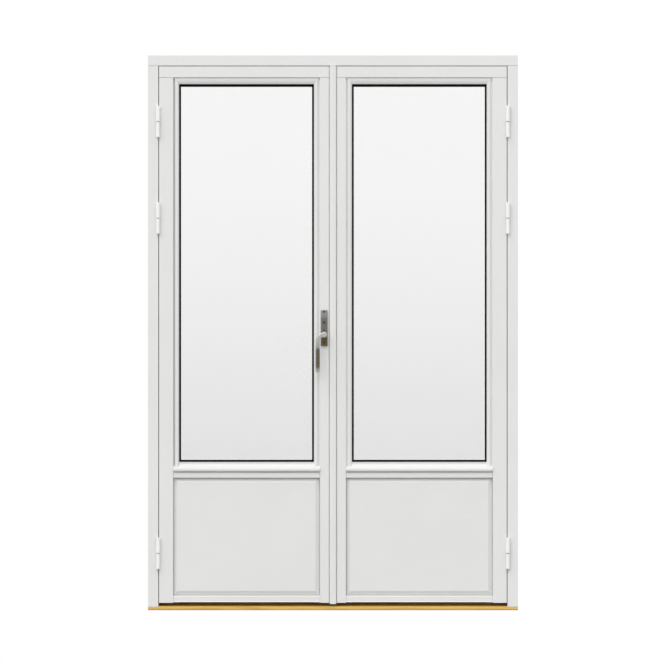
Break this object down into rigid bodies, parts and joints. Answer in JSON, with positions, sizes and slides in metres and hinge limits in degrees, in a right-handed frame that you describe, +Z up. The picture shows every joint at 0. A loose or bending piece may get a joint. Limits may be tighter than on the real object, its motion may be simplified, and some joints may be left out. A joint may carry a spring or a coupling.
{
  "type": "french doors",
  "caption": "Pair of outward-opening white timber french doors in their frame, glazed above a raised panel, with an oak threshold, lever handle and lift-off hinges.",
  "frame": {"origin": "middle of the threshold's underside, halfway through the frame's depth", "axes": "+X to the right seen from outside, +Y from outside to inside, +Z up"},
  "size_m": [1.39, 0.171, 2.085],
  "materials": {
    "white_timber": "opaque off-white paint, semi-matt",
    "oak": "clear-oiled oak",
    "glass": "clear float glass",
    "spacer": "black warm-edge spacer",
    "block_plastic": "black plastic",
    "black_rubber": "matt black rubber",
    "hinge_paint": "white powder coat",
    "satin_handle": "satin brushed steel",
    "lock_steel": "zinc-plated steel",
    "plug_brass": "satin brass"
  },
  "bodies": {
    "frame": {"threshold": "oak", "left_jamb": "white_timber", "right_jamb": "white_timber", "head": "white_timber", "head_keep": "lock_steel", "threshold_keep": "lock_steel", "frame_seal": "black_rubber", "left_hinge_pins": "hinge_paint", "right_hinge_pins": "hinge_paint"},
    "active_leaf": {"left_hinge_stile": "white_timber", "left_meeting_stile": "white_timber", "left_top_rail": "white_timber", "left_mid_rail": "white_timber", "left_bottom_rail": "white_timber", "left_panel": "white_timber", "left_inner_pane": "glass", "left_outer_pane": "glass", "left_glass_spacer": "spacer", "left_setting_blocks": "block_plastic", "left_outer_gasket": "black_rubber", "left_inner_gasket": "black_rubber", "left_hinge_side_bead": "white_timber", "left_meeting_side_bead": "white_timber", "left_top_bead": "white_timber", "left_glazing_sill": "white_timber", "left_hinge_sleeves": "hinge_paint", "astragal": "white_timber", "astragal_seal": "black_rubber", "lock_faceplate": "lock_steel", "lock_case": "lock_steel", "outside_handle_plate": "satin_handle", "inside_handle_plate": "satin_handle", "handle_screws": "lock_steel"},
    "passive_leaf": {"right_hinge_stile": "white_timber", "right_meeting_stile": "white_timber", "right_top_rail": "white_timber", "right_mid_rail": "white_timber", "right_bottom_rail": "white_timber", "right_panel": "white_timber", "right_inner_pane": "glass", "right_outer_pane": "glass", "right_glass_spacer": "spacer", "right_setting_blocks": "block_plastic", "right_outer_gasket": "black_rubber", "right_inner_gasket": "black_rubber", "right_hinge_side_bead": "white_timber", "right_meeting_side_bead": "white_timber", "right_top_bead": "white_timber", "right_glazing_sill": "white_timber", "right_hinge_sleeves": "hinge_paint", "upper_flush_bolt_plate": "lock_steel", "lower_flush_bolt_plate": "lock_steel"},
    "lever_set": {"outside_lever": "satin_handle", "inside_lever": "satin_handle", "spindle": "lock_steel"},
    "upper_rod": {"upper_lock_rod": "lock_steel"},
    "lower_rod": {"lower_lock_rod": "lock_steel"},
    "plug": {"key_plug": "plug_brass"},
    "upper_bolt": {"upper_flush_bolt": "lock_steel"},
    "lower_bolt": {"lower_flush_bolt": "lock_steel"}
  },
  "joints": [
    {"name": "active_leaf_hinge", "type": "hinge", "parent": "frame", "child": "active_leaf", "pos_m": [-0.6575, -0.0665, 0], "axis": [0, 0, -1], "range_deg": [0, 170]},
    {"name": "passive_leaf_hinge", "type": "hinge", "parent": "frame", "child": "passive_leaf", "pos_m": [0.6575, -0.0665, 0], "axis": [0, 0, 1], "range_deg": [0, 170]},
    {"name": "lever_turn", "type": "hinge", "parent": "active_leaf", "child": "lever_set", "pos_m": [-0.0328, -0.0265, 1.035], "axis": [0, 1, 0], "range_deg": [0, 90]},
    {"name": "upper_rod_slide", "type": "slide", "parent": "active_leaf", "child": "upper_rod", "axis": [0, 0, 1], "range_m": [0, 0.02]},
    {"name": "lower_rod_slide", "type": "slide", "parent": "active_leaf", "child": "lower_rod", "axis": [0, 0, -1], "range_m": [0, 0.02]},
    {"name": "key_turn", "type": "hinge", "parent": "active_leaf", "child": "plug", "pos_m": [-0.0328, -0.0265, 1.081], "axis": [0, 1, 0], "range_deg": [0, 90]},
    {"name": "upper_flush_bolt_slide", "type": "slide", "parent": "passive_leaf", "child": "upper_bolt", "axis": [0, 0, 1], "range_m": [0, 0.02]},
    {"name": "lower_flush_bolt_slide", "type": "slide", "parent": "passive_leaf", "child": "lower_bolt", "axis": [0, 0, -1], "range_m": [0, 0.02]}
  ],
  "couplings": [
    {"joint": "passive_leaf_hinge", "follows": "active_leaf_hinge", "ratio": 1},
    {"joint": "upper_rod_slide", "follows": "lever_turn", "m_per_rad": 0.012732},
    {"joint": "lower_rod_slide", "follows": "lever_turn", "m_per_rad": 0.012732}
  ]
}
